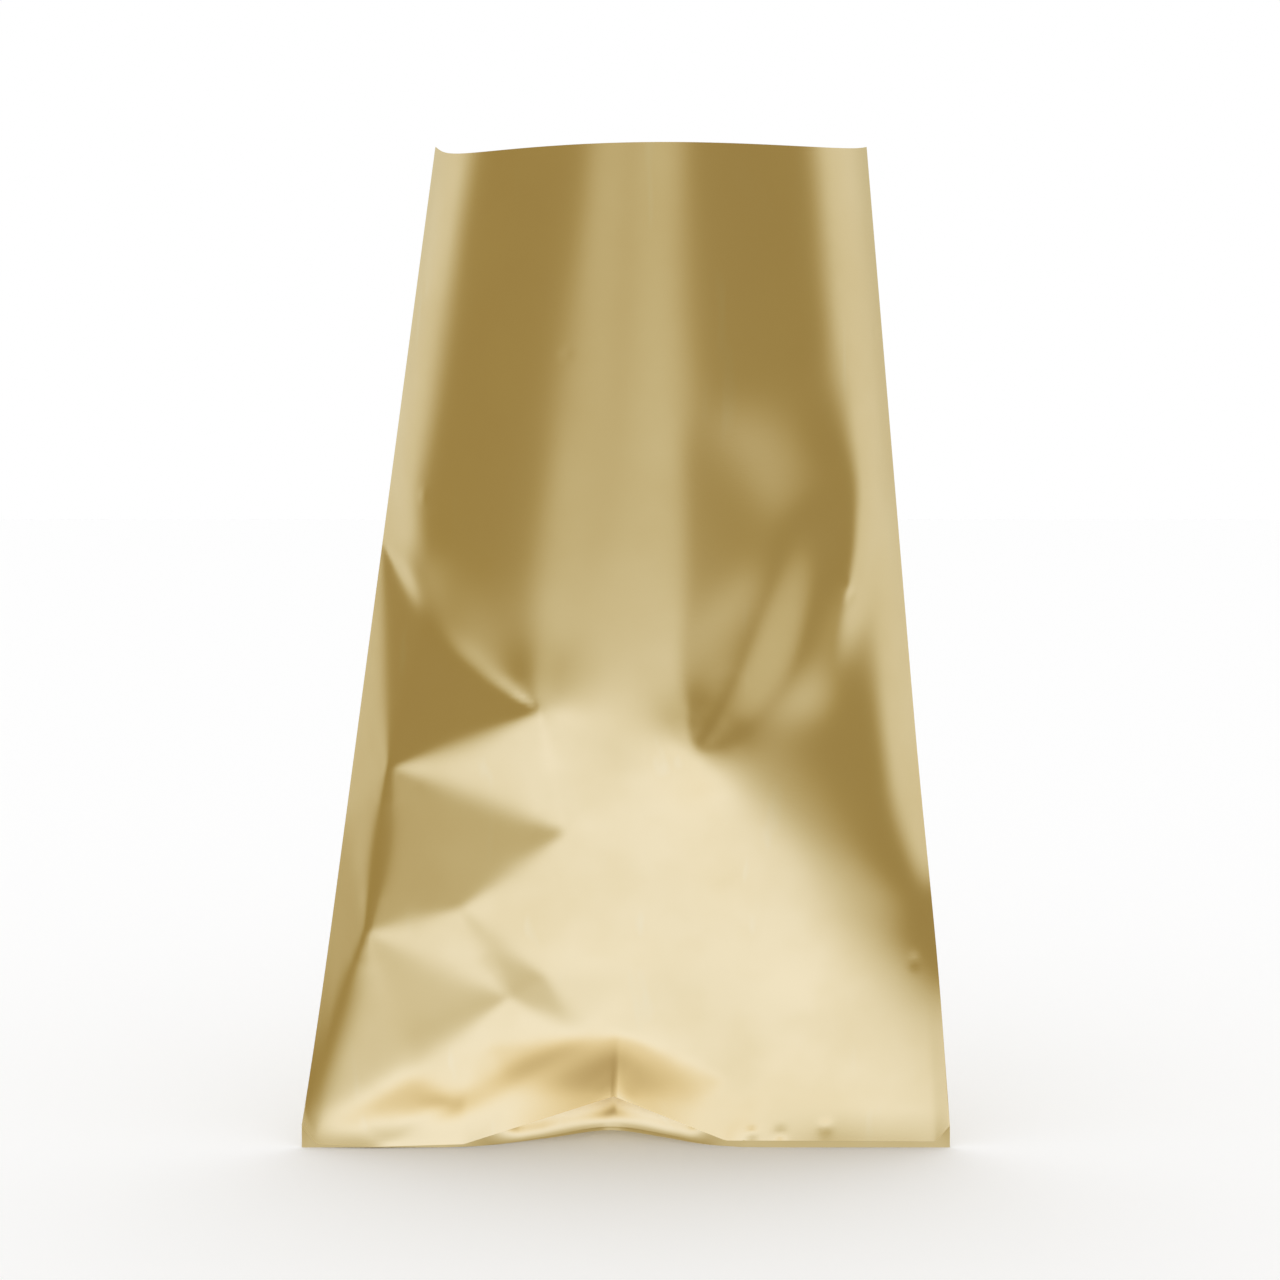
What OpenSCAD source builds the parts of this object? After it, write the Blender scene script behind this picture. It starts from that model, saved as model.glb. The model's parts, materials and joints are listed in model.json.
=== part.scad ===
// Flat film gift bag, standing on its bottom seal with the mouth open.
// The film is one tube. It bends along the creases that run from the two
// bottom corners up to the mouth, so each panel between creases is a node.
// X runs across the bag, +Y is its back, and Z = 0 is the surface it stands on.

/* [Bag] */
// Flat width of the film tube
bag_w = 160; // [156:1:180]
// Flat height from the foot of the seal to the cut mouth
bag_h = 240; // [200:5:280]
// Modelled thickness of one layer of film
film_t = 0.5; // [0.4:0.1:0.6]

/* [Bottom seal] */
// Height of the heat seal across the bottom
seal_h = 5; // [3:1:8]
// How far the middle of the seal is bowed back
seal_bow = 16; // [10:1:20]

/* [Open mouth] */
// Distance from the bag's middle plane to the rim of a centre panel
mouth_reach = 49; // [46:0.5:49]
// Backward lean of the middle plane, which puts the bag's weight over its seal
lean_back = 2; // [1:0.5:3]
// Distance from the middle of the rim to the left creases
left_rim = 28; // [20:1:28]
// Distance from the middle of the rim to the right creases
right_rim = 16; // [10:1:20]

/* [Back seam] */
// Width of the lengthwise seam
seam_w = 10; // [6:1:14]

/* [Creases] */
// Diameter of the rounded crease that each panel turns on
crease_d = 0.8; // [0.8:0.1:1]
// Distance between the middles of the front and back film when shut
film_gap = 1.6; // [1.5:0.1:2]
// Clearance between a crease and the film beside it
clearance = 0.3; // [0.3:0.1:0.5]
// Clearance at the mouth between a left panel and the left side fold
left_gap = 11.5; // [11.5:0.5:13]
// Clearance at the mouth between a right panel and the right side fold
right_gap = 7; // [7:0.5:10]

/* [Hidden] */

gold = [0.84, 0.74, 0.50];
pale_gold = [0.92, 0.85, 0.66];
deep_gold = [0.72, 0.60, 0.34];

arc_fn = 180;
crease_fn = 32;

// The panels start on a crease just above the sealed layers
crease_r = crease_d / 2;
crease_z = seal_h + 2 * film_t + clearance + crease_r;
panel_h = bag_h - crease_z;

// The seal keeps the tube's full width along its arc, so its ends draw in
seal_half_chord = bag_w / 2 - (4 / 3) * pow(seal_bow, 2) / bag_w;
seal_r = (pow(seal_half_chord, 2) + pow(seal_bow, 2)) / (2 * seal_bow);
seal_half_angle = asin(seal_half_chord / seal_r);

// Lean of each centre panel away from the bag's middle plane
lean_open = asin(mouth_reach / panel_h);
front_lean = lean_open - lean_back;
back_lean = lean_open + lean_back;

// The origin is under the middle of the bag's own box
front_reach = panel_h * sin(front_lean) + film_t / 2 * cos(front_lean);
back_reach = panel_h * sin(back_lean) + film_t * 1.5 * cos(back_lean);
mouth_shift = (back_reach - front_reach) / 2;

// Where the creases leave the bottom corners
corner_start = 14;
corner_gap = 1;

// A side panel is the narrow triangle between its crease and the side fold,
// and both of those start at the bottom corner. This is the angle between
// the crease and the side fold, for a crease that ends at rim on the mouth.
function crease_angle(rim) = atan((bag_w / 2 - rim) / panel_h);

// The fold about a crease that brings the front and back side folds together
// when the centre panels have their full lean
function fold_open(rim) =
    let (
        s = sin(crease_angle(rim)),
        c = cos(crease_angle(rim)),
        lean_part = tan(lean_open) * s * s
    )
    asin(tan(lean_open) * c * c / norm([s, lean_part])) + atan2(lean_part, s);

module in_bag_frame() {
    translate([0, -mouth_shift, 0]) children();
}

// Film standing in the XZ plane, cut to an outline given as [x, height]
module film(outline) {
    rotate([90, 0, 0])
        linear_extrude(height = film_t, center = true)
            polygon(outline);
}

// Rounded crease between two points given as [x, height]
module crease(from, to) {
    run = to - from;
    translate([from[0], 0, from[1]])
        rotate([0, atan2(run[0], run[1]), 0])
            cylinder(h = norm(run), r = crease_r, $fn = crease_fn);
}

// Places flat film on the front crease, leaning forward as it stands open
module on_front() {
    in_bag_frame()
        translate([0, -film_gap / 2, crease_z])
            rotate([front_lean, 0, 0])
                children();
}

// Places flat film on the back crease, leaning back
module on_back() {
    in_bag_frame()
        translate([0, film_gap / 2, crease_z])
            rotate([-back_lean, 0, 0])
                children();
}

// Half-width of a centre panel, cut clear of the crease that it ends at
function centre_half_w(rim, height) =
    bag_w / 2
    - height * tan(crease_angle(rim))
    - (crease_r + clearance) / cos(crease_angle(rim));

// Half of a centre panel, from x = 0 to the crease on its right
function half_panel_outline(rim) = [
    [0, 0],
    [centre_half_w(rim, 0), 0],
    [centre_half_w(rim, panel_h), panel_h],
    [0, panel_h]
];

// Half of a centre panel with the crease along its foot
module half_panel(rim) {
    film(half_panel_outline(rim));
    crease([0, 0], [centre_half_w(rim, 0), 0]);
}

// Side panel lying flat on the right, before it is folded about its crease
module flat_side_panel(rim, side_gap) {
    head = [rim, panel_h];
    foot = [
        bag_w / 2 - corner_start * sin(crease_angle(rim)),
        corner_start * cos(crease_angle(rim))
    ];
    film([
        foot,
        head,
        [bag_w / 2 - side_gap, panel_h],
        [bag_w / 2 - corner_gap, foot[1]]
    ]);
    crease(foot, head);
}

// Side panel on the right, folded back from the centre panel's plane
module folded_side_panel(rim, side_gap) {
    corner = [bag_w / 2, 0, 0];
    crease_dir = [-sin(crease_angle(rim)), 0, cos(crease_angle(rim))];
    translate(corner)
        rotate(a = fold_open(rim), v = crease_dir)
            translate(-corner)
                flat_side_panel(rim, side_gap);
}

// One layer of the bowed heat seal, between two radii
module seal_layer(inner_r) {
    in_bag_frame()
        translate([0, seal_bow - seal_r, 0])
            rotate([0, 0, 90 - seal_half_angle])
                rotate_extrude(angle = 2 * seal_half_angle, $fn = arc_fn)
                    translate([inner_r, 0])
                        square([film_t, seal_h]);
}

// Film turned back from a panel's crease to the bowed seal
module base_fold(front_edge, outer_r, z) {
    in_bag_frame()
        translate([0, 0, z])
            linear_extrude(height = film_t)
                intersection() {
                    translate([0, seal_bow - seal_r])
                        circle(r = outer_r, $fn = arc_fn);
                    translate([-seal_half_chord, front_edge])
                        square([2 * seal_half_chord, 2 * seal_bow]);
                }
}

module front_seal_layer() {
    color(pale_gold) seal_layer(seal_r - film_t);
}

module back_seal_layer() {
    color(gold) seal_layer(seal_r);
}

module front_base_fold() {
    color(deep_gold)
        base_fold(-film_gap / 2 - crease_r, seal_r, seal_h);
}

module back_base_fold() {
    color(gold)
        base_fold(film_gap / 2 - crease_r, seal_r + film_t, seal_h + film_t);
}

module front_centre_panel() {
    color(pale_gold)
        on_front() {
            half_panel(right_rim);
            mirror([1, 0, 0]) half_panel(left_rim);
        }
}

module front_left_panel() {
    color(gold)
        on_front()
            mirror([1, 0, 0])
                folded_side_panel(left_rim, left_gap);
}

module front_right_panel() {
    color(gold)
        on_front()
            folded_side_panel(right_rim, right_gap);
}

module back_centre_left_panel() {
    color(pale_gold)
        on_back()
            mirror([1, 0, 0])
                half_panel(left_rim);
}

module back_centre_right_panel() {
    color(gold)
        on_back()
            half_panel(right_rim);
}

// The seam lies on the outside of the two back panels and welds them
module back_seam() {
    color(deep_gold)
        on_back()
            translate([0, film_t, 0])
                film([
                    [-seam_w / 2, crease_d],
                    [seam_w / 2, crease_d],
                    [seam_w / 2, panel_h],
                    [-seam_w / 2, panel_h]
                ]);
}

module back_left_panel() {
    color(gold)
        on_back()
            mirror([1, 0, 0])
                mirror([0, 1, 0])
                    folded_side_panel(left_rim, left_gap);
}

module back_right_panel() {
    color(gold)
        on_back()
            mirror([0, 1, 0])
                folded_side_panel(right_rim, right_gap);
}

front_seal_layer();
back_seal_layer();
front_base_fold();
back_base_fold();
front_centre_panel();
front_left_panel();
front_right_panel();
back_centre_left_panel();
back_centre_right_panel();
back_seam();
back_left_panel();
back_right_panel();
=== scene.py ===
import json
import math

import bpy
import numpy as np
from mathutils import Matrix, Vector
from mathutils.geometry import delaunay_2d_cdt


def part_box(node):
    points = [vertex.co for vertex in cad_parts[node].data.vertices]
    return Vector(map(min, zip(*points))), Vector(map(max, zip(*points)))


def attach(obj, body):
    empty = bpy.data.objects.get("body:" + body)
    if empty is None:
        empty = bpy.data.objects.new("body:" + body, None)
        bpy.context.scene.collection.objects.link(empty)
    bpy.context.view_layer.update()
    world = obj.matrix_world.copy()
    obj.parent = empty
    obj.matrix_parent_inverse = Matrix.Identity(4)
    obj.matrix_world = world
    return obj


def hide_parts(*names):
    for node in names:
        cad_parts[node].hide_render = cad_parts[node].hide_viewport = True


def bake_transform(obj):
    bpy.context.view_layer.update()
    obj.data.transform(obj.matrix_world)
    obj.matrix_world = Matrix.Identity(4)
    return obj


# A flat gift bag of satin gold metallised film, standing open on its seal.
# The film is worked out on a flat layout in millimetres: u runs across half
# the tube, from the left side fold at -HALF to the right one at +HALF, and v
# runs up from the foot of the seal to the cut mouth.
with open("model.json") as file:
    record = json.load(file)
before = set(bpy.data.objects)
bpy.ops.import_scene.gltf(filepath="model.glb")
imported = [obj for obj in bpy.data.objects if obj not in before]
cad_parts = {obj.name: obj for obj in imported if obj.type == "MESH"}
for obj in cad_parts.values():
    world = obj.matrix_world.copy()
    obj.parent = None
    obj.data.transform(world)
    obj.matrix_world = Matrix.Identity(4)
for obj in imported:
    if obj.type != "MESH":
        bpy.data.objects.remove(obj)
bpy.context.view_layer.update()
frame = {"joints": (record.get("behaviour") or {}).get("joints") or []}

MM = 0.001
JOINTS = {joint["name"]: joint for joint in frame["joints"]}


def joint_place(name):
    """Where a joint is, in millimetres."""
    return np.array(JOINTS[name]["pos_m"]) / MM


# ---------------------------------------------------------------- the bag's sizes

# Half the tube's flat width, the film's thickness, and the steps of its grids
HALF = joint_place("front_right_fold")[0]
FILM_T = 0.14
PITCH_FRONT = 1.0
PITCH_BACK = 2.0

# The seal's height, its ends and its bow, and the bottom corners of the film
SEAL_LOW, SEAL_HIGH = (np.array(corner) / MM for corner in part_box("front_seal_layer"))
SEAL_H = SEAL_HIGH[2]
CHORD = SEAL_HIGH[0]
CORNER_Y = SEAL_LOW[1]
CORNER_Z = 0.4
LEFT_CORNER = np.array([-CHORD, CORNER_Y, CORNER_Z])
RIGHT_CORNER = np.array([CHORD, CORNER_Y, CORNER_Z])
BOW = SEAL_HIGH[1] - SEAL_LOW[1]
# How far back the seal is bowed, as a share of its bow, by x
SEAL_X = [-80, -44, -33, -20, -3, 10, 19, 28, 80]
SEAL_SHARE = [0, 0, 0.12, 0.5, 1, 0.55, 0.17, 0, 0]

# The open mouth: the tube's girth makes a circle, a little to the right
MOUTH_R = 4 * HALF / (2 * math.pi)
MOUTH_X = 6.0
MOUTH_Y = -0.3
# Length of the film from its foot to the mouth
FILM_H = 240.0

# Height of the cut rim round the front and the back half, from the left fold to the right
RIM_U = [-80, -70, -52, -30, 0, 35, 60, 80]
RIM_Z = [238.0, 235.6, 234.7, 235.4, 236.4, 236.4, 237.2, 239.2]
BACK_RIM_Z = [238.0, 237.0, 236.0, 235.0, 234.5, 235.0, 237.0, 239.2]


# ---------------------------------------------------------------- helpers


def smooth(value, low, high):
    """0 below low, 1 above high and a smooth step between them."""
    t = np.clip((value - low) / (high - low), 0, 1)
    return t * t * (3 - 2 * t)


def curve_through(x, knots, values):
    """A smooth curve through a few points. It can run a little past them between knots."""
    knots = np.array(knots, float)
    values = np.array(values, float)
    slopes = np.gradient(values, knots)
    x = np.clip(x, knots[0], knots[-1])
    i = np.clip(np.searchsorted(knots, x) - 1, 0, len(knots) - 2)
    span = knots[i + 1] - knots[i]
    t = (x - knots[i]) / span
    return (
        (2 * t**3 - 3 * t**2 + 1) * values[i]
        + (t**3 - 2 * t**2 + t) * span * slopes[i]
        + (3 * t**2 - 2 * t**3) * values[i + 1]
        + (t**3 - t**2) * span * slopes[i + 1]
    )


def stack(*parts):
    """Coordinates as the last axis of one array."""
    return np.stack(np.broadcast_arrays(*parts), axis=-1).astype(float)


def normals_of(grid):
    """Unit normals of a grid of points, by its two directions."""
    across = np.gradient(grid, axis=1)
    up = np.gradient(grid, axis=0)
    normal = np.cross(across, up)
    return normal / np.maximum(np.linalg.norm(normal, axis=-1, keepdims=True), 1e-9)


def blur(field, sigma):
    """Gaussian blur of a grid, which runs straight on past its edges."""
    reach = max(1, int(3 * sigma))
    kernel = np.exp(-0.5 * (np.arange(-reach, reach + 1) / sigma) ** 2)
    kernel /= kernel.sum()
    padded = np.pad(field, reach, mode="reflect", reflect_type="odd")
    rows = sum(w * padded[i : i + field.shape[0]] for i, w in enumerate(kernel))
    return sum(w * rows[:, i : i + field.shape[1]] for i, w in enumerate(kernel))


# ---------------------------------------------------------------- smooth shape of the film


def seal_line(x):
    """The y of the bowed seal at a given x. It never comes in front of its own ends."""
    return CORNER_Y + BOW * np.clip(curve_through(x, SEAL_X, SEAL_SHARE), 0, 1)


def rim_point(u, side):
    """The cut mouth, for the front (side -1) or the back (side +1)."""
    turn = np.clip(u, -HALF, HALF) / HALF * math.pi / 2
    z = curve_through(u, RIM_U, RIM_Z if side < 0 else BACK_RIM_Z)
    return stack(
        MOUTH_X + MOUTH_R * np.sin(turn), MOUTH_Y + side * MOUTH_R * np.cos(turn), z
    )


def ruled_film(u, v, side):
    """Film drawn straight from the foot to the mouth.

    It is a flat triangle standing on the foot, and a cone from each bottom
    corner to the mouth beside it.
    """
    t = np.clip(v / FILM_H, 1e-4, 1)
    left, right = LEFT_CORNER, RIGHT_CORNER
    top = rim_point(np.zeros(1), side)[0]
    share = (u / (HALF * np.maximum(1 - t, 1e-4)) + 1) / 2
    share = np.clip(share, 0, 1)[..., None]
    flat = t[..., None] * top + (1 - t[..., None]) * (left + share * (right - left))
    u_left = -HALF + (u + HALF) / t
    u_right = HALF - (HALF - u) / t
    cone_left = left + t[..., None] * (rim_point(np.minimum(u_left, 0), side) - left)
    cone_right = right + t[..., None] * (rim_point(np.maximum(u_right, 0), side) - right)
    film = np.where((u_left < 0)[..., None], cone_left, flat)
    return np.where((u_right > 0)[..., None], cone_right, film)


def oval_depth(half_w):
    """Depth of the half ellipse that has half the tube's girth."""
    low, high = 0 * half_w, 0 * half_w + 2 * HALF
    for _ in range(40):
        depth = (low + high) / 2
        girth = math.pi * (
            3 * (half_w + depth)
            - np.sqrt((3 * half_w + depth) * (half_w + 3 * depth))
        )
        low = np.where(girth < 4 * HALF, depth, low)
        high = np.where(girth < 4 * HALF, high, depth)
    return low


def oval_film(u, v, side):
    """Film whose level sections are half ellipses with the tube's girth."""
    t = np.clip(v / FILM_H, 0.02, 1)
    ends = rim_point(np.array([-HALF, HALF]), side)
    left = LEFT_CORNER * (1 - t[..., None]) + ends[0] * t[..., None]
    right = RIGHT_CORNER * (1 - t[..., None]) + ends[1] * t[..., None]
    middle = (left + right) / 2
    half_w = (right - left)[..., 0] / 2
    depth = oval_depth(half_w)
    # Equal steps of u are equal steps along the ellipse
    turns = np.linspace(-math.pi / 2, math.pi / 2, 181)
    out = np.zeros(u.shape + (3,))
    for row in range(u.shape[0]):
        a, b = half_w[row, 0], depth[row, 0]
        step = np.hypot(a * np.cos(turns), b * np.sin(turns))
        along = np.concatenate([[0], np.cumsum((step[1:] + step[:-1]) / 2)])
        turn = np.interp(
            (u[row] + HALF) / (2 * HALF) * along[-1], along, turns
        )
        lift = curve_through(u[row], RIM_U, RIM_Z if side < 0 else BACK_RIM_Z)
        line = (RIM_Z[0] + (RIM_Z[-1] - RIM_Z[0]) * (u[row] + HALF) / (2 * HALF))
        out[row, :, 0] = middle[row, :, 0] + a * np.sin(turn)
        out[row, :, 1] = middle[row, :, 1] + side * b * np.cos(turn)
        out[row, :, 2] = middle[row, :, 2] + (lift - line) * t[row]
    return out


def grid(u_from, u_to, v_from, v_to, pitch):
    """Rows of v and columns of u, as two arrays of the same shape."""
    columns = int(round((u_to - u_from) / pitch)) + 1
    rows = int(round((v_to - v_from) / pitch)) + 1
    u, v = np.meshgrid(
        np.linspace(u_from, u_to, columns), np.linspace(v_from, v_to, rows)
    )
    return u, v


# ---------------------------------------------------------------- the front film

# The front is a flat panel leaning out from the seal, under rounder film. Its
# upper edge runs between two kinks, and on to the side folds. Each is u, v.
WAIST = {
    "left": (-HALF, 118),
    "left_kink": (-22, 111),
    "right_kink": (13, 101),
    "right": (HALF, 92),
}

# The right side fold bends forward at an elbow: its height, and how far forward
ELBOW_V = 46.0
ELBOW_OUT = 11.0

# Flat facets of the buckled film at the lower left. Each line is a ridge or a
# valley through points u, v, and how far the film there stands out to the front.
FACET_LINES = {
    "left_ridge": [(-22, 111, 0.3), (-62, 95, 2.0)],
    "left_valley": [(-62, 95, 2.0), (-16, 81, 1.2)],
    "panel_side": [(-22, 111, 0.3), (-16, 81, 1.2), (-20, 44, 0.5)],
    "middle_ridge": [(-16, 81, 1.2), (-41, 62, 2.0), (-66, 55, 4.8)],
    "low_valley": [(-66, 55, 4.8), (-29, 39, 2.8)],
    "band_above": [(-41, 62, 2.0), (-20, 44, 0.5)],
    "band_below": [(-41, 62, 2.0), (-29, 39, 2.8)],
    "band_end": [(-20, 44, 0.5), (-29, 39, 2.8)],
    "corner_ridge": [(-29, 39, 2.8), (-54, 20, 4.2), (-80, 2, 0.0)],
    "side_ridge": [(-80, 146, 0.0), (-62, 95, 2.0)],
    "low_side_ridge": [(-62, 95, 2.0), (-66, 55, 4.8)],
    "foot_side": [(-66, 55, 4.8), (-80, 2, 0.0)],
    "top_side": [
        (-80, 146, 0.0), (-68, 144, 0.0), (-56, 130, 0.0), (-44, 116, 0.0), (-22, 111, 0.3),
    ],
    "panel_fade": [
        (-22, 111, 0.3), (2, 97, 0.0), (8, 72, 0.0), (4, 46, 0.0), (-10, 26, 0.4),
        (-38, 12, 1.5), (-80, 2, 0.0),
    ],
    "left_fold": [(-80, height, 0.0) for height in (146, 140, 120, 100, 80, 60, 40, 20, 2)],
}
# Soft waves in the rest of the film, standing out along its own normal
WAVE_LINES = {
    "left_crest": [(-22, 111, 2.2), (-21, 140, 2.4), (-18, 185, 1.4), (-15, 240, 0.4)],
    "middle": [(-2, 118, 1.6), (-1, 150, 2.0), (0, 200, 1.6), (0, 240, 0.6)],
    "left_dent_valley": [
        (-80, 146, 0.0), (-68, 144, -1.6), (-56, 130, -4.4), (-44, 116, -3.2), (-22, 111, 2.2)
    ],
    "left_dent_ridge": [
        (-74, 170, 0.0), (-60, 158, 0.5), (-46, 148, 0.9), (-39, 136, 1.2), (-31, 122, 1.4)
    ],
    "right_crest": [
        (80, 46, 0.0), (46, 75, 1.6), (13, 101, 2.0), (13, 130, 2.6), (12, 180, 1.8), (9, 240, 0.6)
    ],
    "right_dent_valley": [
        (13, 101, 2.0), (18, 110, -1.2), (26, 131, -3.4), (33, 150, -2.8), (40, 176, 0.0)
    ],
    "right_dent_ridge": [
        (13, 101, 2.0), (27, 107, 0.8), (41, 124, 3.4), (49, 144, 4.4), (54, 162, 1.6), (58, 180, 0.0)
    ],
    "right_flank": [(70, 62, 1.6), (54, 90, 1.4), (48, 108, 0.0), (54, 128, -0.6), (62, 150, 0.0)],
}
WAVE_REST = [
    (0, 60), (0, 85), (20, 60), (62, 110), (68, 60), (72, 140), (-60, 180), (-70, 30), (0, 30), (30, 30),
    (-30, 20), (-50, 210), (60, 200), (-66, 140), (-60, 110),
]
KINKS = [
    (-22, 111), (-16, 81), (-41, 62), (-20, 44), (-29, 39), (-62, 95), (-65, 55), (13, 101),
    (-80, 146), (20, 110),
]
WAVE_KINKS = [(-22, 111), (13, 101)]
# Small dents and nicks: u, v, half width, height
MARKS = [
    (31, 2, 1.6, -0.4), (38, 2, 1.6, 0.4), (49, 3.5, 1.8, -0.4), (50, 139, 1.8, 0.14),
    (51.5, 136, 1.6, -0.14), (72, 197, 1.6, -0.12), (73, 47, 1.8, -0.16), (-70, 208, 1.8, -0.16),
    (-71, 203, 1.6, 0.12), (-18, 193, 1.4, -0.05), (-57, 160, 1.8, 0.1),
]
# Widths that the soft waves, the film at their kinks and the foot's buckles are rounded by
WAVE_BLUR = 4.0
KINK_BLUR = 1.2
FOOT_BLUR = 3.0
# Widths that the film is rounded by, from right at a kink to far from one
WAIST_WIDTHS = (1, 3, 7, 12)
CREASE_WIDTHS = (0.8, 1.6, 2.8)
KINK_REACH = 10
# Height over which the film comes down to the ridge
LOWER_V = 60

# Ridge that the front film folds over just above the seal: x, y, z
RIDGE_X = [-78, -74.5, -60, -39, -3, 24, 50, 74.5, 78]
RIDGE_Y = [-8.6, -9.2, -10.0, -9.2, -2.5, -8.4, -9.8, -9.2, -8.6]
RIDGE_Z = [5.5, 0.9, 0.5, 0.9, 11.0, 1.6, 1.9, 1.6, 5.5]
# Height over which the film swings in to the ridge: u, height
SWING_U = [-80, -60, -34, 0, 24, 40, 80]
SWING_V = [8, 12, 28, 27, 18, 10, 8]
# Shallow buckles just above the ridge: u, v, stands out
FOOT_LINES = {
    "dent_top": [(-34, 27, 0.6), (0, 26, 0.9), (24, 17, 0.7), (40, 30, 0.3)],
    "dent_left": [(-34, 27, 0.6), (-42, 11, 0.7), (-59, 1, 0.4)],
    "left_facet": [(-42, 11, 0.7), (-39, 0, 0.0), (-59, 1, 0.4)],
    "middle": [(0, 26, 0.9), (-2, 13, 0.1), (-3, 0, 0.5)],
    "right_side": [(24, 17, 0.7), (24, 0, 0.9), (40, 30, 0.3)],
    "dent_low": [(-28, 12, -0.4), (-16, 8, -0.6), (-8, 6, -0.4)],
    "dent_right": [(3, 5, -0.4), (12, 8, -0.6), (19, 8, -0.3)],
}
FOOT_REST = [(-60, 30), (-20, 45), (20, 45), (55, 30), (60, 12), (-75, 10), (33, 8), (45, 3), (-50, 10)]
FOOT_KINKS = [(-34, 27), (0, 26), (24, 17), (-42, 11), (-59, 1), (-39, 0), (24, 0), (-3, 0)]


def lower_fan(u, v, side, apex_v, apex, edge, kink, waist):
    """A cone from a point on a side fold to the waist, and where on the layout it is.

    side is -1 for the left fold, and apex is the point that is apex_v up it.
    """
    run = HALF - side * u
    kink_run = HALF - side * kink[0]
    slope = (kink[1] - edge[1]) / kink_run
    t = (v - apex_v - slope * run) / (edge[1] - apex_v)
    within = (t > 0) & (run < kink_run * t)
    t = np.maximum(t, 1e-4)
    u_waist = side * (HALF - np.minimum(run / t, kink_run))
    return apex + t[..., None] * (waist(u_waist) - apex), within


def lower_panel(u, v, left_kink, right_kink, waist):
    """The flat panel between the foot and the two kinks."""
    across = (u + HALF) / (2 * HALF)
    for _ in range(12):
        up = v / (left_kink[1] + across * (right_kink[1] - left_kink[1]))
        width = (1 - up) * 2 * HALF + up * (right_kink[0] - left_kink[0])
        across = (u + (1 - up) * HALF - up * left_kink[0]) / np.maximum(width, 1)
    across = across[..., None]
    foot = LEFT_CORNER + across * (RIGHT_CORNER - LEFT_CORNER)
    top = waist(np.array([left_kink[0], right_kink[0]], float))
    head = top[0] + across * (top[1] - top[0])
    return foot + up[..., None] * (head - foot)


def front_film(u, v):
    """The front film before its buckles: rounder film over a panel and two cones."""
    upper = oval_film(u, v, -1)
    knots = [WAIST[name] for name in ("left", "left_kink", "right_kink", "right")]

    def waist(u_waist):
        height = np.interp(u_waist, [k[0] for k in knots], [k[1] for k in knots])
        column = (u_waist + HALF) / (2 * HALF) * (u.shape[1] - 1)
        row = height / FILM_H * (u.shape[0] - 1)
        return sample(upper, row, column)

    top_right = rim_point(np.array([HALF]), -1)[0]
    elbow = RIGHT_CORNER + (top_right - RIGHT_CORNER) * ELBOW_V / FILM_H - (0, ELBOW_OUT, 0)
    film = lower_panel(u, v, WAIST["left_kink"], WAIST["right_kink"], waist)
    corners = [(HALF, 0), (HALF, ELBOW_V), WAIST["right_kink"]]
    within, b, c = inside_face(u, v, corners)
    head = waist(np.array([WAIST["right_kink"][0]], float))[0]
    b, c = b[..., None], c[..., None]
    flank = RIGHT_CORNER * (1 - b - c) + elbow * b + head * c
    film = np.where(within[..., None], flank, film)
    left, within = lower_fan(u, v, -1, 0, LEFT_CORNER, WAIST["left"], WAIST["left_kink"], waist)
    film = np.where(within[..., None], left, film)
    right, within = lower_fan(
        u, v, 1, ELBOW_V, elbow, WAIST["right"], WAIST["right_kink"], waist
    )
    film = np.where(within[..., None], right, film)
    height = np.interp(u, [k[0] for k in knots], [k[1] for k in knots])
    return np.where((v > height)[..., None], upper, film)


def sample(film, row, column):
    """Points of a grid at fractional rows and columns."""
    row = np.clip(row, 0, film.shape[0] - 1.001)
    column = np.clip(column, 0, film.shape[1] - 1.001)
    i, j = row.astype(int), column.astype(int)
    r, c = (row - i)[..., None], (column - j)[..., None]
    low = film[i, j] * (1 - c) + film[i, j + 1] * c
    high = film[i + 1, j] * (1 - c) + film[i + 1, j + 1] * c
    return low * (1 - r) + high * r


def soften(film, sharpness, widths):
    """Rounds the film off: by the first width where sharpness is 1, the last where it is 0."""
    levels = []
    for width in widths:
        levels.append(
            np.stack([blur(film[..., k], width / PITCH_FRONT) for k in range(3)], -1)
        )
    depth = (1 - np.clip(sharpness, 0, 1)) * (len(levels) - 1)
    out = np.zeros_like(film)
    for k, level in enumerate(levels):
        out += level * np.clip(1 - abs(depth - k), 0, 1)[..., None]
    return out


def triangles(lines, rest):
    """Triangles over the flat layout that keep the given lines, and their points."""
    points, edges = [], []
    # The border of the layout stays where it is
    for place in np.linspace(-HALF, HALF, 9):
        points += [(place, 0, 0), (place, FILM_H, 0)]
    for place in np.linspace(0, FILM_H, 13)[1:-1]:
        points += [(-HALF, place, 0), (HALF, place, 0)]
    points += [(a, b, 0) for a, b in rest]
    drawn = len(points)
    for line in lines.values():
        start = len(points)
        points += line
        edges += [(start + k, start + k + 1) for k in range(len(line) - 1)]
    flat = [Vector(point[:2]) for point in points]
    places, _, faces, sources, _, _ = delaunay_2d_cdt(flat, edges, [], 0, 0.01)
    heights = [max((points[k][2] for k in source), key=abs) for source in sources]
    on_line = [max(source) >= drawn for source in sources]
    return places, faces, heights, on_line


def inside_face(u, v, corners):
    """Which points are in a triangle, and their shares of its second and third corners."""
    (ax, ay), (bx, by), (cx, cy) = corners
    area = (bx - ax) * (cy - ay) - (cx - ax) * (by - ay)
    if abs(area) < 1e-6:
        return np.zeros(u.shape, bool), u, v
    b = ((u - ax) * (cy - ay) - (cx - ax) * (v - ay)) / area
    c = ((bx - ax) * (v - ay) - (u - ax) * (by - ay)) / area
    return (b >= -1e-6) & (c >= -1e-6) & (b + c <= 1 + 1e-6), b, c


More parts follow.
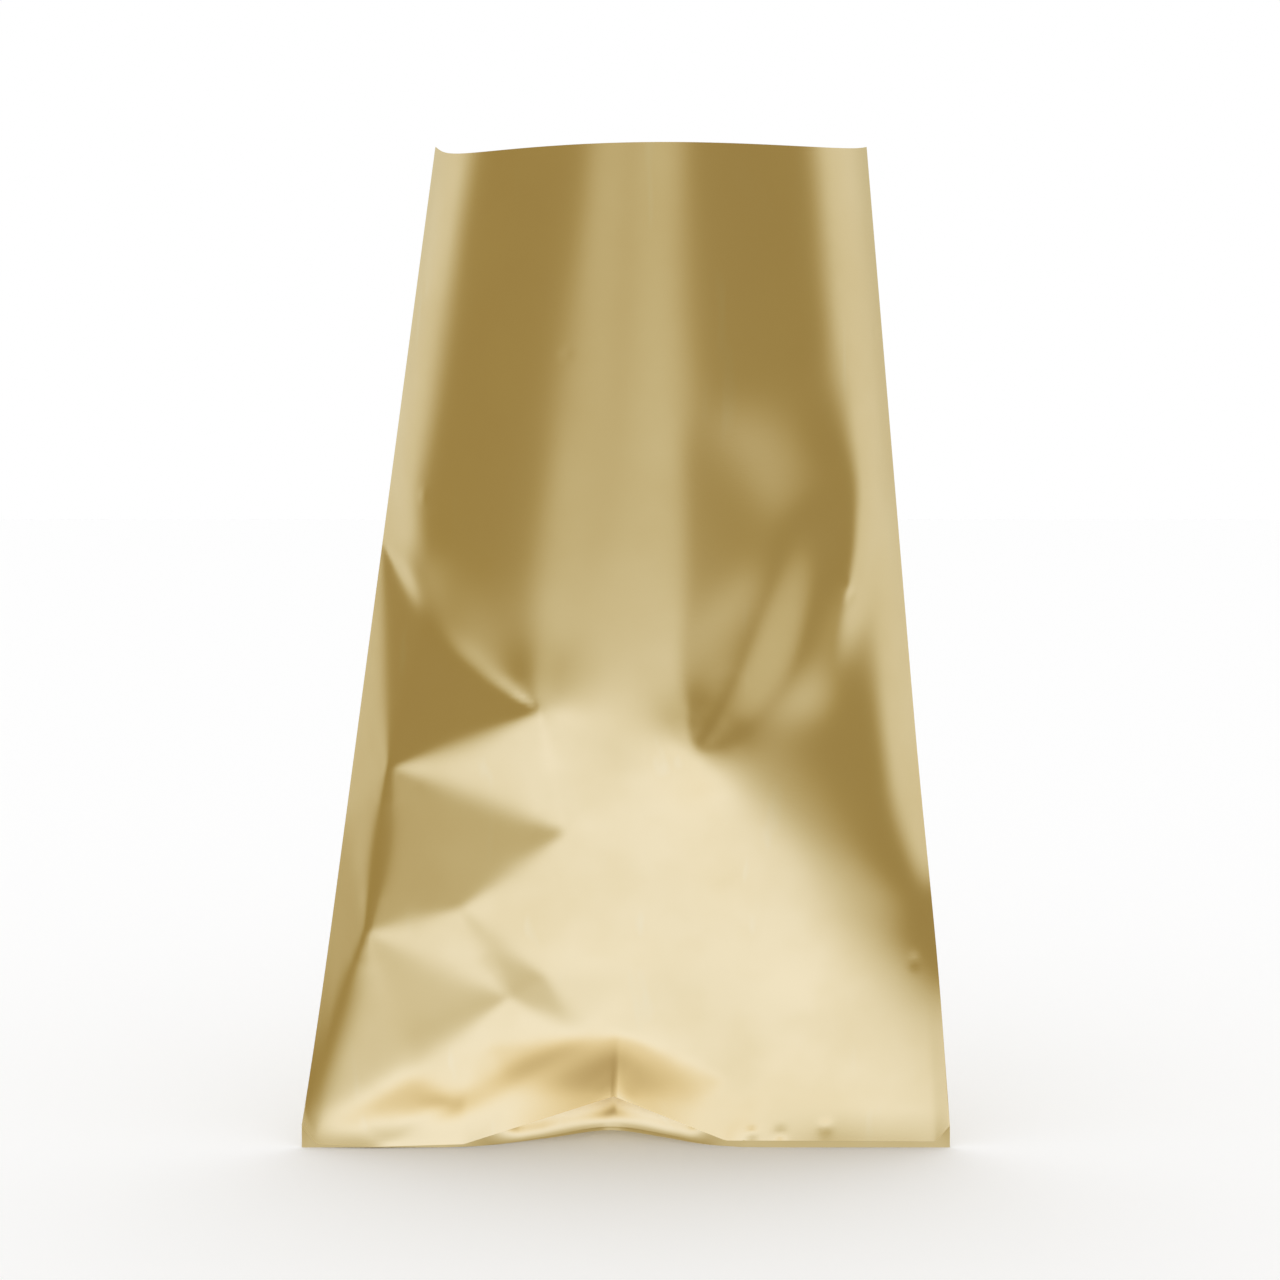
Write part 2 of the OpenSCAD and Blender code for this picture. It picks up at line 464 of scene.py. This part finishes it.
def relief(u, v, lines, rest, kinks, width):
    """Heights over the flat layout: soft, but sharp at the kinks."""
    places, faces, heights, _ = triangles(lines, rest)
    out = np.zeros_like(u)
    for face in faces:
        within, b, c = inside_face(u, v, [places[k] for k in face])
        first, second, third = (heights[k] for k in face)
        out = np.where(within, first * (1 - b - c) + second * b + third * c, out)
    soft = blur(out, width / PITCH_FRONT)
    return soft + near(u, v, kinks, 3 * width) * (blur(out, KINK_BLUR / PITCH_FRONT) - soft)


def faceted(u, v, film):
    """The film with its buckled part made of flat facets."""
    places, faces, heights, on_line = triangles(FACET_LINES, [])
    out = film.copy()
    for face in faces:
        if not all(on_line[k] for k in face):
            continue
        within, b, c = inside_face(u, v, [places[k] for k in face])
        corners = []
        for k in face:
            row = np.array([places[k][1] / FILM_H * (u.shape[0] - 1)])
            column = np.array([(places[k][0] + HALF) / (2 * HALF) * (u.shape[1] - 1)])
            corners.append(sample(film, row, column)[0] - (0, heights[k], 0))
        b, c = b[..., None], c[..., None]
        flat = corners[0] * (1 - b - c) + corners[1] * b + corners[2] * c
        out = np.where(within[..., None], flat, out)
    return out


def near(u, v, places, reach):
    """1 at the given places, falling to 0 away from them."""
    out = np.zeros_like(u)
    for place in places:
        away = np.hypot(u - place[0], v - place[1])
        out = np.maximum(out, np.exp(-((away / reach) ** 2)))
    return out


def build_front():
    """The front film with its waves, facets and dents, swung in to the ridge over the seal."""
    u, v = grid(-HALF, HALF, 0, FILM_H, PITCH_FRONT)
    film = front_film(u, v)
    waist_kinks = [WAIST["left_kink"], WAIST["right_kink"]]
    film = soften(film, near(u, v, waist_kinks, KINK_REACH), WAIST_WIDTHS)
    waves = relief(u, v, WAVE_LINES, WAVE_REST, WAVE_KINKS, WAVE_BLUR)
    film = film + normals_of(film) * waves[..., None]
    film = faceted(u, v, film)
    film = soften(film, near(u, v, KINKS, KINK_REACH), CREASE_WIDTHS)
    heights = relief(u, v, FOOT_LINES, FOOT_REST, FOOT_KINKS, FOOT_BLUR)
    for place_u, place_v, half_w, height in MARKS:
        away = np.hypot(u - place_u, v - place_v)
        heights += height * np.exp(-((away / half_w) ** 2))
    film += normals_of(film) * heights[..., None]
    x = np.clip(film[0, :, 0], -CHORD, CHORD)
    swing = np.interp(u[0], SWING_U, SWING_V)
    fade = (1 - np.clip(v / swing, 0, 1)) ** 2
    film[..., 1] += (np.interp(x, RIDGE_X, RIDGE_Y) - film[0, :, 1]) * fade
    lower = (1 - np.clip(v / LOWER_V, 0, 1)) ** 2
    film[..., 2] += (np.interp(x, RIDGE_X, RIDGE_Z) - film[0, :, 2]) * lower
    return u, v, film


# ---------------------------------------------------------------- meshes


def film_mesh(name, film, thickness, materials):
    """A thin sheet from a grid of points: its outer face is the grid."""
    normal = normals_of(film)
    return sheet_mesh(name, film, normal, thickness, materials)


def sheet_mesh(name, film, normal, thickness, materials):
    """A thin sheet with the given normals. The last material is on its inner face."""
    rows, columns = film.shape[:2]
    count = rows * columns
    inner = film - normal * thickness
    points = np.concatenate([film.reshape(-1, 3), inner.reshape(-1, 3)]) * MM
    index = np.arange(count).reshape(rows, columns)
    a, b = index[:-1, :-1].ravel(), index[:-1, 1:].ravel()
    c, d = index[1:, 1:].ravel(), index[1:, :-1].ravel()
    outer_faces = np.stack([a, b, c, d], 1)
    inner_faces = np.stack([a, d, c, b], 1) + count
    rim = np.concatenate(
        [index[0, :-1], index[:-1, -1], index[-1, :0:-1], index[:0:-1, 0]]
    )
    after = np.roll(rim, -1)
    rim_faces = np.stack([rim, rim + count, after + count, after], 1)
    faces = np.concatenate([outer_faces, inner_faces, rim_faces])
    mesh = bpy.data.meshes.new(name)
    mesh.from_pydata(points.tolist(), [], faces.tolist())
    for material in materials:
        mesh.materials.append(material)
    slots = np.zeros(len(faces), int)
    slots[len(outer_faces) : len(outer_faces) + len(inner_faces)] = len(materials) - 1
    mesh.polygons.foreach_set("material_index", slots)
    mesh.polygons.foreach_set("use_smooth", np.ones(len(faces), bool))
    corner_normals = np.zeros((len(faces), 4, 3))
    flat_normals = normal.reshape(-1, 3)
    corner_normals[: len(outer_faces)] = flat_normals[outer_faces]
    corner_normals[len(outer_faces) : -len(rim_faces)] = -flat_normals[
        inner_faces - count
    ]
    corners = points[rim_faces]
    flat = np.cross(corners[:, 1] - corners[:, 0], corners[:, 2] - corners[:, 0])
    flat /= np.maximum(np.linalg.norm(flat, axis=1, keepdims=True), 1e-12)
    corner_normals[-len(rim_faces) :] = flat[:, None, :]
    mesh.update()
    mesh.normals_split_custom_set(corner_normals.reshape(-1, 3).tolist())
    piece = bpy.data.objects.new(name, mesh)
    bpy.context.scene.collection.objects.link(piece)
    return piece


# ---------------------------------------------------------------- materials

GOLD = (0.94, 0.83, 0.6, 1.0)
DEEP_GOLD = (0.91, 0.79, 0.54, 1.0)
WORN_GOLD = (0.93, 0.86, 0.68, 1.0)
# Grains to the metre: the satin grain, cloudy patches and rubbed streaks
GRAIN, CLOUDS, STREAKS = 2600, 32, 150
GRAIN_HEIGHT = 0.00002


def gold_film(name, roughness):
    """Satin metallised film: a fine grain, cloudy colour and sheen, and a few rubbed streaks."""
    material = bpy.data.materials.new(name)
    material.use_nodes = True
    nodes = material.node_tree.nodes
    links = material.node_tree.links
    shader = nodes["Principled BSDF"]
    shader.inputs["Metallic"].default_value = 1.0
    place = nodes.new("ShaderNodeTexCoord")

    def noise(scale, detail, stretch=(1, 1, 1)):
        turn = nodes.new("ShaderNodeMapping")
        turn.inputs["Scale"].default_value = stretch
        links.new(place.outputs["Object"], turn.inputs["Vector"])
        texture = nodes.new("ShaderNodeTexNoise")
        texture.inputs["Scale"].default_value = scale
        texture.inputs["Detail"].default_value = detail
        links.new(turn.outputs[0], texture.inputs["Vector"])
        return texture.outputs["Fac"]

    def spread(value, low, high, to_low, to_high):
        limits = nodes.new("ShaderNodeMapRange")
        for socket, number in zip(limits.inputs[1:5], (low, high, to_low, to_high)):
            socket.default_value = number
        links.new(value, limits.inputs["Value"])
        return limits.outputs[0]

    def blend_colour(share, first, second):
        mix = nodes.new("ShaderNodeMix")
        mix.data_type = "RGBA"
        links.new(share, mix.inputs[0])
        if isinstance(first, tuple):
            mix.inputs[6].default_value = first
        else:
            links.new(first, mix.inputs[6])
        mix.inputs[7].default_value = second
        return mix.outputs[2]

    clouds = noise(CLOUDS, 3)
    streaks = noise(STREAKS, 2, stretch=(1, 1, 0.12))
    grain = noise(GRAIN, 2)
    colour = blend_colour(spread(clouds, 0.4, 0.65, 0, 1), GOLD, DEEP_GOLD)
    colour = blend_colour(spread(streaks, 0.66, 0.78, 0, 0.5), colour, WORN_GOLD)
    links.new(colour, shader.inputs["Base Color"])
    rough = spread(clouds, 0.35, 0.7, roughness - 0.02, roughness + 0.03)
    links.new(rough, shader.inputs["Roughness"])
    bump = nodes.new("ShaderNodeBump")
    bump.inputs["Distance"].default_value = GRAIN_HEIGHT
    bump.inputs["Strength"].default_value = 0.5
    links.new(grain, bump.inputs["Height"])
    links.new(bump.outputs[0], shader.inputs["Normal"])
    return material


# ---------------------------------------------------------------- stage


# The photo's view: where the camera is, how far it looks down, and its lens
CAMERA_PLACE = Vector((3.4, -740, 187.7)) * MM
CAMERA_DOWN = 5.1
CAMERA_LENS = 87.2
SENSOR = 36
FLOOR_HALF = 3.0


def add_camera():
    camera = bpy.data.cameras.new("camera")
    camera.lens = CAMERA_LENS
    camera.sensor_width = SENSOR
    holder = bpy.data.objects.new("camera", camera)
    holder.location = CAMERA_PLACE
    holder.rotation_euler = (math.radians(90 - CAMERA_DOWN), 0, 0)
    bpy.context.scene.collection.objects.link(holder)
    bpy.context.scene.camera = holder


# The studio's colours, from a dark warm corner at 0 to white at 1: tone, colour
TONES = [
    (0.28, (0.28, 0.22, 0.085)), (0.36, (0.36, 0.26, 0.075)), (0.44, (0.44, 0.35, 0.14)),
    (0.5, (0.5, 0.415, 0.22)), (0.58, (0.58, 0.51, 0.31)), (0.65, (0.65, 0.59, 0.41)),
    (0.72, (0.72, 0.67, 0.51)), (0.8, (0.8, 0.76, 0.63)), (0.9, (0.9, 0.88, 0.8)),
    (1.0, (1.0, 0.995, 0.98)),
]
# How light the studio is round the bag, by bearing in degrees from the camera's
# side, where +90 is the bag's right. It changes evenly from each to the next.
STUDIO = [
    (-180, 0.56), (-150, 0.71), (-125, 0.71), (-105, 0.345), (-42, 0.345), (-30, 0.56), (-17, 0.56),
    (-12, 0.48), (-6, 0.56), (7, 0.6), (13, 0.57), (26, 0.335), (90, 0.335), (107, 0.71), (135, 0.71),
    (160, 0.58), (180, 0.56),
]
# Downward, the studio turns to a white table between these angles
TABLE_FROM, TABLE_TO = -10, -46
# Steeply down, the table is shaded by the bag and takes its gold, between these
SHADE_FROM, SHADE_TO = -52, -84
SHADES = [
    (0.0, (1.0, 1.0, 1.0)), (0.35, (0.97, 0.92, 0.8)), (0.7, (0.84, 0.72, 0.46)), (1.0, (0.46, 0.35, 0.17))
]


def add_ramp(nodes, stops):
    """A colour ramp through the given places and colours."""
    ramp = nodes.new("ShaderNodeValToRGB")
    elements = ramp.color_ramp.elements
    while len(elements) < len(stops):
        elements.new(0.5)
    for element, (place, colour) in zip(elements, stops):
        element.position = place
        element.color = (*colour, 1)
    return ramp


def add_studio():
    """Plain white light, but the film's reflections see a studio with darker corners."""
    scene = bpy.context.scene
    scene.view_settings.view_transform = "Standard"
    world = bpy.data.worlds.new("studio")
    scene.world = world
    world.use_nodes = True
    nodes, links = world.node_tree.nodes, world.node_tree.links
    nodes.clear()
    place = nodes.new("ShaderNodeTexCoord")
    parts = nodes.new("ShaderNodeSeparateXYZ")
    links.new(place.outputs["Generated"], parts.inputs[0])
    flip = nodes.new("ShaderNodeMath")
    flip.operation = "MULTIPLY"
    flip.inputs[1].default_value = -1
    links.new(parts.outputs["Y"], flip.inputs[0])
    bearing = nodes.new("ShaderNodeMath")
    bearing.operation = "ARCTAN2"
    links.new(parts.outputs["X"], bearing.inputs[0])
    links.new(flip.outputs[0], bearing.inputs[1])
    share = nodes.new("ShaderNodeMapRange")
    share.inputs["From Min"].default_value = -math.pi
    share.inputs["From Max"].default_value = math.pi
    links.new(bearing.outputs[0], share.inputs["Value"])
    ramp = add_ramp(nodes, [((angle + 180) / 360, (tone,) * 3) for angle, tone in STUDIO])
    links.new(share.outputs[0], ramp.inputs[0])
    table = nodes.new("ShaderNodeMapRange")
    table.inputs["From Min"].default_value = math.sin(math.radians(TABLE_FROM))
    table.inputs["From Max"].default_value = math.sin(math.radians(TABLE_TO))
    links.new(parts.outputs["Z"], table.inputs["Value"])
    tone = nodes.new("ShaderNodeMix")
    tone.inputs["B"].default_value = 1.0
    links.new(table.outputs[0], tone.inputs["Factor"])
    links.new(ramp.outputs["Color"], tone.inputs["A"])
    colour = add_ramp(nodes, TONES)
    links.new(tone.outputs[0], colour.inputs[0])
    down = nodes.new("ShaderNodeMapRange")
    down.inputs["From Min"].default_value = math.sin(math.radians(SHADE_FROM))
    down.inputs["From Max"].default_value = math.sin(math.radians(SHADE_TO))
    links.new(parts.outputs["Z"], down.inputs["Value"])
    shade = add_ramp(nodes, SHADES)
    links.new(down.outputs[0], shade.inputs[0])
    both = nodes.new("ShaderNodeMix")
    both.data_type = "RGBA"
    both.blend_type = "MULTIPLY"
    both.inputs[0].default_value = 1.0
    links.new(colour.outputs["Color"], both.inputs[6])
    links.new(shade.outputs["Color"], both.inputs[7])
    rays = nodes.new("ShaderNodeLightPath")
    plain = nodes.new("ShaderNodeBackground")
    plain.inputs["Color"].default_value = (1, 1, 1, 1)
    plain.inputs["Strength"].default_value = 1.0
    room = nodes.new("ShaderNodeBackground")
    links.new(both.outputs[2], room.inputs["Color"])
    mix = nodes.new("ShaderNodeMixShader")
    links.new(rays.outputs["Is Glossy Ray"], mix.inputs[0])
    links.new(plain.outputs[0], mix.inputs[1])
    links.new(room.outputs[0], mix.inputs[2])
    out = nodes.new("ShaderNodeOutputWorld")
    links.new(mix.outputs[0], out.inputs["Surface"])


def add_floor():
    size = FLOOR_HALF
    mesh = bpy.data.meshes.new("floor")
    mesh.from_pydata(
        [(-size, -size, 0), (size, -size, 0), (size, size, 0), (-size, size, 0)],
        [],
        [(0, 1, 2, 3)],
    )
    floor = bpy.data.objects.new("floor", mesh)
    bpy.context.scene.collection.objects.link(floor)
    material = bpy.data.materials.new("floor")
    material.use_nodes = True
    shader = material.node_tree.nodes["Principled BSDF"]
    shader.inputs["Base Color"].default_value = (0.99, 0.99, 0.99, 1)
    shader.inputs["Roughness"].default_value = 1.0
    shader.inputs["Specular IOR Level"].default_value = 0.0
    mesh.materials.append(material)
    floor.visible_glossy = False


# ---------------------------------------------------------------- the bag's pieces

# Thickness of one welded strip, and the gap between it and the next film
SEAL_LAYER = 0.2
FILM_GAP = 0.15
# How far the front strip's upper edge stands behind and above the ridge
TUCK = 0.4
# How far the middle of the seal's foot is lifted, and how far along it
FOOT_RISE = 1.0
RISE_REACH = 40
# Heights between which the back film turns from straight to round
ROUND_FROM, ROUND_TO = 40, 140
# Height below which the back film swings in to the seal, and down to its foot
BACK_SWING, BACK_LOWER = 110, 30
BACK_FOOT_Z = 0.6
# Distance from the middle beyond which the back film is drawn to the side folds
FOLD_PULL = 30
# How the back film is rounded off: at the side folds, and elsewhere
BACK_WIDTHS = (0.5, 4)
BACK_EDGE = 12


def build_back(front):
    """The back film. It runs from the right side fold to the left, and meets the front there."""
    u, v = grid(-HALF, HALF, 0, FILM_H, PITCH_BACK)
    share = smooth(v, ROUND_FROM, ROUND_TO)[..., None]
    film = (1 - share) * ruled_film(u, v, 1) + share * oval_film(u, v, 1)
    film = soften(film, 1 - smooth(HALF - abs(u), 0, BACK_EDGE), BACK_WIDTHS)
    foot = film[0].copy()
    x = np.clip(foot[:, 0], -CHORD, CHORD)
    to_seal = seal_line(x) + SEAL_LAYER + FILM_GAP - foot[:, 1]
    film[..., 1] += to_seal * (1 - smooth(v, SEAL_H, BACK_SWING))
    film[..., 2] += (BACK_FOOT_Z - foot[:, 2]) * (1 - smooth(v, 0, BACK_LOWER))
    rows = v[:, 0] / FILM_H * (front.shape[0] - 1)
    for column, side in ((0, -1), (-1, 1)):
        fold = sample(front, rows, np.full_like(rows, column % front.shape[1]))
        gap = fold - film[:, column]
        film += gap[:, None] * smooth(side * u, FOLD_PULL, HALF)[..., None]
    return u[:, ::-1], film[:, ::-1]


def add_seal(name, film):
    """One welded strip along the bow."""
    piece = film_mesh(name, film, SEAL_LAYER, [welded])
    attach(piece, "bottom_seal")
    return piece


def seal_grid():
    """Places along the seal, and shares of its height."""
    return np.meshgrid(np.linspace(-CHORD, CHORD, 161), np.linspace(0, 1, 13))


def front_seal_film():
    """The front strip: it stands on the bow, and in the middle it rises to the ridge."""
    x, share = seal_grid()
    ridge_y = np.interp(x, RIDGE_X, RIDGE_Y) + TUCK
    ridge_z = np.interp(x, RIDGE_X, RIDGE_Z) + TUCK
    top = np.maximum(ridge_z, SEAL_H)
    middle = smooth(ridge_z, SEAL_H * 0.3, SEAL_H)
    y = seal_line(x) + middle * (ridge_y - seal_line(x)) * share**2
    foot = FOOT_RISE * (1 - smooth(abs(x), 0, RISE_REACH))
    return stack(x, y, foot + (top - foot) * share)


def back_seal_film():
    """The back strip, just behind the front one and facing back."""
    x, share = seal_grid()
    film = stack(x, seal_line(x) + SEAL_LAYER * 2 + FILM_GAP, SEAL_H * share)
    return film[:, ::-1]


def add_half(name, u, film, normal, keep):
    """Half of the front or back film: a thin sheet of its kept columns, with the given normals."""
    columns = np.where(keep)[0]
    part = slice(columns[0], columns[-1] + 1)
    piece = sheet_mesh(name, film[:, part], normal[:, part], FILM_T, [outside, inside])
    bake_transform(piece)
    return piece


# The bend's distances inside and outside the crease, and where the creases meet the rim
BEND_IN, BEND_OUT = 8.0, 12.0
CREASE_TOPS = {
    "front_left_fold": (-28, -50, 236),
    "front_right_fold": (16, -50, 236),
    "back_left_fold": (-28, 49, 233),
    "back_right_fold": (16, 49, 233),
}


def bend_zone(joint):
    """A point inside and one outside the crease from a film half's bottom corner to the mouth."""
    foot = joint_place(joint)
    top = np.array(CREASE_TOPS[joint])
    crease = (top - foot) / np.linalg.norm(top - foot)
    outward = np.array([math.copysign(1, foot[0]), -math.copysign(0.75, top[1]), 0])
    outward -= crease * (outward @ crease)
    outward /= np.linalg.norm(outward)
    middle = (foot + top) / 2
    return middle - outward * BEND_IN, middle + outward * BEND_OUT


# ---------------------------------------------------------------- assembly

add_camera()
add_studio()
add_floor()

outside = gold_film("gold_film_outside", 0.24)
inside = gold_film("gold_film_inside", 0.4)
welded = gold_film("gold_film_welded", 0.3)

front_seal = add_seal("front_seal_strip", front_seal_film())
back_seal = add_seal("back_seal_strip", back_seal_film())
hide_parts("front_seal_layer")
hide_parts("back_seal_layer")

u, v, front = build_front()
normal = normals_of(front)
left_bend = bend_zone("front_left_fold")
right_bend = bend_zone("front_right_fold")
left = add_half(
    "front_left_film", u, front, normal, u[0] <= 0.01
)
right = add_half(
    "front_right_film", u, front, normal, u[0] >= -0.01
)
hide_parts("front_left_panel", "front_centre_panel", "front_base_fold")
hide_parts("front_right_panel")

u_back, back = build_back(front)
normal = normals_of(back)
left_bend = bend_zone("back_left_fold")
right_bend = bend_zone("back_right_fold")
back_right = add_half(
    "back_right_film", u_back, back, normal, u_back[0] >= -0.01
)
back_left = add_half(
    "back_left_film", u_back, back, normal, u_back[0] <= 0.01
)
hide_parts("back_left_panel", "back_centre_left_panel", "back_base_fold")
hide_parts("back_right_panel", "back_centre_right_panel")

# Half the seam's width, and how far it stands clear of the film it is welded to
SEAM_HALF = 5.0
SEAM_LIFT = 0.08
rows, columns = np.meshgrid(
    np.arange(1, back.shape[0]),
    (HALF + np.linspace(-SEAM_HALF, SEAM_HALF, 11)) / PITCH_BACK,
    indexing="ij",
)
seam_film = sample(back, rows, columns) + sample(normal, rows, columns) * (FILM_T + SEAM_LIFT)
seam = film_mesh("back_seam_strip", seam_film, FILM_T, [outside])
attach(seam, "back_centre")
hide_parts("back_seam")
